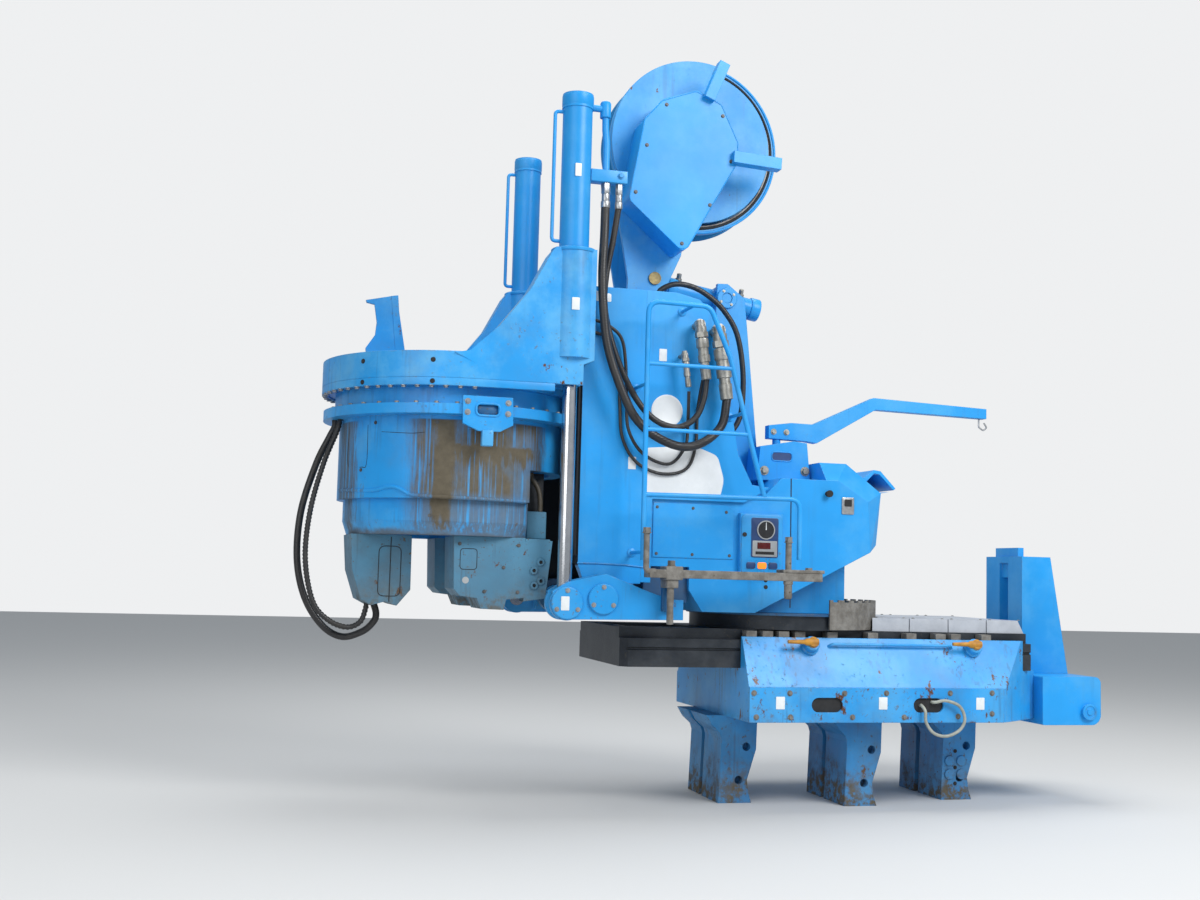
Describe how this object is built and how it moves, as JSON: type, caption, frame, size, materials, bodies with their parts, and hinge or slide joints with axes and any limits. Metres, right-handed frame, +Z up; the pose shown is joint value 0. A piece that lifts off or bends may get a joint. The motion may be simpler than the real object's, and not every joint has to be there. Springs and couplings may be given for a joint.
{
  "type": "pile driver rig",
  "caption": "Hydraulic press-in piling machine standing on clamps, with a sliding saddle, turning mast, twin press cylinders, rotating chuck, ladder and hose reel",
  "frame": {"origin": "on the ground, on the pile line, under the middle clamp", "axes": "+X towards the rear, along the pile line, away from the chuck; +Y towards the far side; +Z up"},
  "size_m": [4.7199, 1.6178, 4.343],
  "materials": {
    "paint": "satin",
    "shade_paint": "worn satin",
    "dark_steel": "greasy",
    "dirty_steel": "muddy",
    "chrome": "polished",
    "silver": "satin",
    "rubber": "matte",
    "brass": "dull",
    "pale_hose": "matte"
  },
  "bodies": {
    "saddle": {"saddle_frame": "paint", "saddle_aprons": "paint", "hold_downs": "dirty_steel", "clamp_leg_1": "paint", "clamp_leg_2": "paint", "clamp_leg_3": "paint", "rear_box": "paint", "rear_post": "paint", "saddle_valves": "paint", "drain_loop": "pale_hose"},
    "clamp_jaw_1": {"clamp_jaw_1": "shade_paint"},
    "clamp_jaw_2": {"clamp_jaw_2": "shade_paint"},
    "clamp_jaw_3": {"clamp_jaw_3": "shade_paint"},
    "slide": {"slide_frame": "dark_steel", "slide_cover": "silver", "turn_ring": "dark_steel"},
    "turn": {"turn_base": "shade_paint", "turn_housing": "paint", "ring_guard": "dirty_steel", "control_panel": "paint", "tilt_bracket": "paint", "hose_post": "paint", "rear_hood": "paint"},
    "mast": {"mast_column": "paint", "mast_shell": "paint", "mast_foot": "paint", "press_rods": "chrome", "reel_arm": "paint", "reel_cover": "paint", "ladder": "paint", "step_bar": "dirty_steel", "couplings": "brass", "press_hoses": "rubber", "mast_hoses": "rubber"},
    "tilt_barrel": {"tilt_barrel": "paint"},
    "tilt_rod": {"tilt_rod": "chrome"},
    "chuck_frame": {"chuck_frame": "paint", "press_barrels": "paint", "grab_rails": "paint", "manifold": "paint", "pile_guides": "paint"},
    "chuck": {"chuck_drum": "paint", "chuck_claw": "shade_paint", "chuck_hoses": "rubber"},
    "chuck_jaw_near": {"chuck_jaw_near": "shade_paint"},
    "chuck_jaw_far": {"chuck_jaw_far": "shade_paint"},
    "reel": {"hose_reel": "paint", "reel_hose": "rubber"},
    "hose_arm": {"hose_arm": "paint"}
  },
  "joints": [
    {"name": "clamp_1_close", "type": "slide", "parent": "saddle", "child": "clamp_jaw_1", "axis": [0, -1, 0], "range_m": [-0.03, 0.03]},
    {"name": "clamp_2_close", "type": "slide", "parent": "saddle", "child": "clamp_jaw_2", "axis": [0, -1, 0], "range_m": [-0.03, 0.03]},
    {"name": "clamp_3_close", "type": "slide", "parent": "saddle", "child": "clamp_jaw_3", "axis": [0, -1, 0], "range_m": [-0.03, 0.03]},
    {"name": "slide_travel", "type": "slide", "parent": "saddle", "child": "slide", "axis": [-1, 0, 0], "range_m": [-0.08, 0.6]},
    {"name": "mast_turn", "type": "hinge", "parent": "slide", "child": "turn", "pos_m": [-0.317, 0, 1], "axis": [0, 0, 1], "range_deg": [-90, 90]},
    {"name": "mast_tilt", "type": "hinge", "parent": "turn", "child": "mast", "pos_m": [-1.604, 0, 1.148], "axis": [0, 1, 0], "range_deg": [-1.5, 1.5]},
    {"name": "tilt_barrel_swing", "type": "hinge", "parent": "turn", "child": "tilt_barrel", "pos_m": [-0.727, 0, 2.935], "axis": [0, 1, 0], "range_deg": [-0.6, 0.6]},
    {"name": "tilt_rod_travel", "type": "slide", "parent": "tilt_barrel", "child": "tilt_rod", "axis": [-0.9871, 0, 0.1599], "range_m": [-0.052, 0.052]},
    {"name": "chuck_lift", "type": "slide", "parent": "mast", "child": "chuck_frame", "axis": [0, 0, 1], "range_m": [-0.78, 0.02], "deforming": ["press_hoses"]},
    {"name": "chuck_turn", "type": "hinge", "parent": "chuck_frame", "child": "chuck", "pos_m": [-2.325, 0, 2.2], "axis": [0, 0, 1], "range_deg": [-110, 110]},
    {"name": "jaw_close_near", "type": "slide", "parent": "chuck", "child": "chuck_jaw_near", "axis": [0, 1, 0], "range_m": [0, 0.06]},
    {"name": "jaw_close_far", "type": "slide", "parent": "chuck", "child": "chuck_jaw_far", "axis": [0, -1, 0], "range_m": [0, 0.06]},
    {"name": "reel_spin", "type": "hinge", "parent": "mast", "child": "reel", "pos_m": [-0.952, 0, 3.825], "axis": [0, 1, 0], "continuous": true},
    {"name": "hose_arm_swing", "type": "hinge", "parent": "turn", "child": "hose_arm", "pos_m": [-0.45, -0.245, 2.1], "axis": [0, 0, 1], "range_deg": [-25, 25]}
  ],
  "couplings": [
    {"joint": "tilt_barrel_swing", "follows": "mast_tilt", "ratio": -0.2366},
    {"joint": "tilt_rod_travel", "follows": "mast_tilt", "m_per_rad": -1.9043},
    {"joint": "jaw_close_far", "follows": "jaw_close_near", "ratio": 1}
  ]
}
